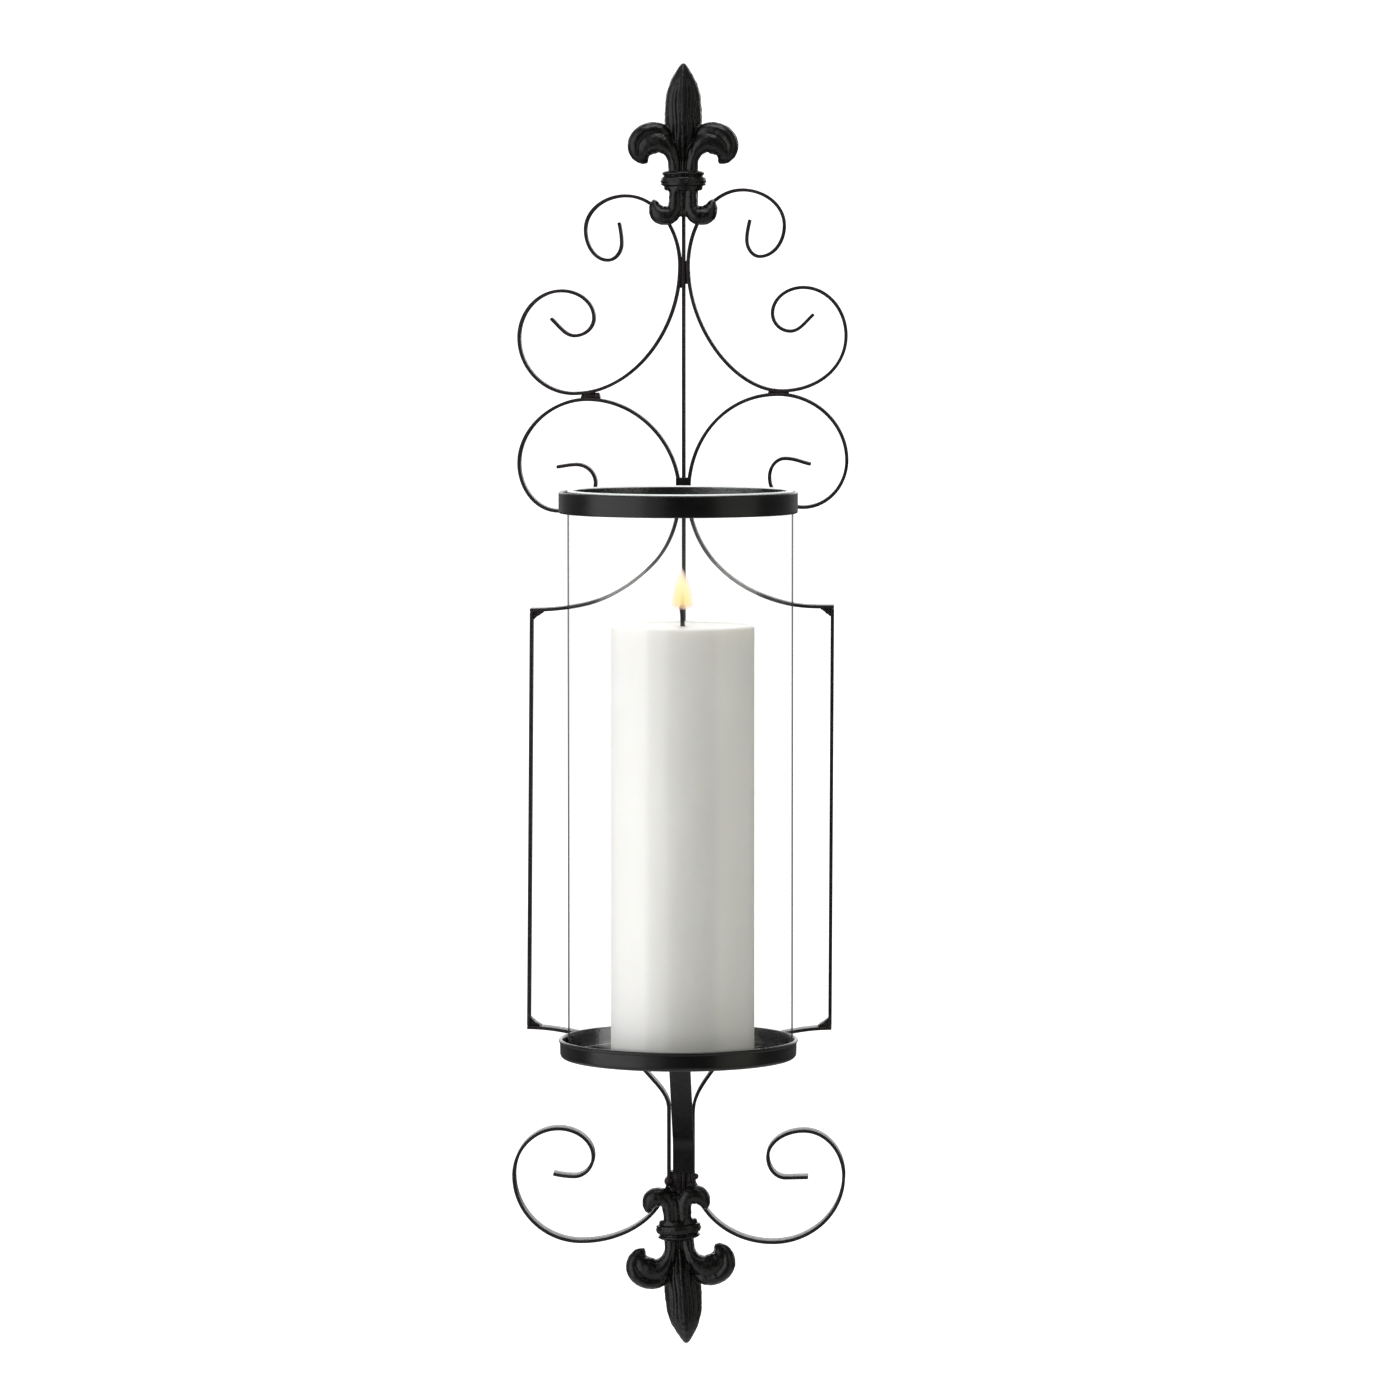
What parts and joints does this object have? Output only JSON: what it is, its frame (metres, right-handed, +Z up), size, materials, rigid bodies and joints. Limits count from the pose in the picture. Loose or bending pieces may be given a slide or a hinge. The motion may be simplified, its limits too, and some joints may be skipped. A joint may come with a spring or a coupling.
{
  "type": "wall sconce candle holder",
  "caption": "Wall sconce with a scrolled flat-bar frame, cast finials, a pan on a bracket and a ring that holds a glass tube round a pillar candle.",
  "frame": {"origin": "centre of the hanging hole behind the upper finial's collar, on the wall plane side of the hanger plate", "axes": "+Z up, +X to the right seen from the room, +Y into the wall; the wall is the plane y = 0 and the sconce stands out towards -Y"},
  "size_m": [0.1435, 0.12, 0.546],
  "materials": {
    "bar_paint": "black powder coat on hand-bent flat bar, satin, faintly warm at thin edges",
    "casting": "cast iron under black paint, uneven satin with soft highlights on the ridges",
    "plate_paint": "black paint, satin",
    "sheet_paint": "black enamel on pressed sheet, semi-gloss",
    "clear_glass": "clear drawn glass tube, polished",
    "wax": "off-white pillar wax, smooth and slightly translucent",
    "wick_cotton": "burnt braided cotton",
    "flame": "candle flame, glowing, pale yellow with a warm edge"
  },
  "bodies": {
    "frame": {"centre_bar": "bar_paint", "top_scroll_left": "bar_paint", "top_scroll_right": "bar_paint", "mid_scroll_left": "bar_paint", "mid_scroll_right": "bar_paint", "side_bar_left": "bar_paint", "side_bar_right": "bar_paint", "bottom_scroll_left": "bar_paint", "bottom_scroll_right": "bar_paint", "belly_welds": "bar_paint", "scroll_welds": "bar_paint", "corner_welds": "bar_paint", "base_spacers": "bar_paint", "top_finial": "casting", "bottom_finial": "casting", "hanger_plate": "plate_paint", "top_ring": "sheet_paint", "waist_plate": "bar_paint", "ring_standoff": "bar_paint", "pan": "sheet_paint", "pan_bracket": "bar_paint"},
    "glass": {"glass_tube": "clear_glass"},
    "candle": {"candle": "wax", "wick": "wick_cotton"}
  },
  "joints": [
    {"name": "glass_lift", "type": "slide", "parent": "frame", "child": "glass", "axis": [0, 0, 1], "range_m": [0, 0.24]},
    {"name": "candle_lift", "type": "slide", "parent": "frame", "child": "candle", "axis": [0, 0, 1], "range_m": [0, 0.25]}
  ]
}
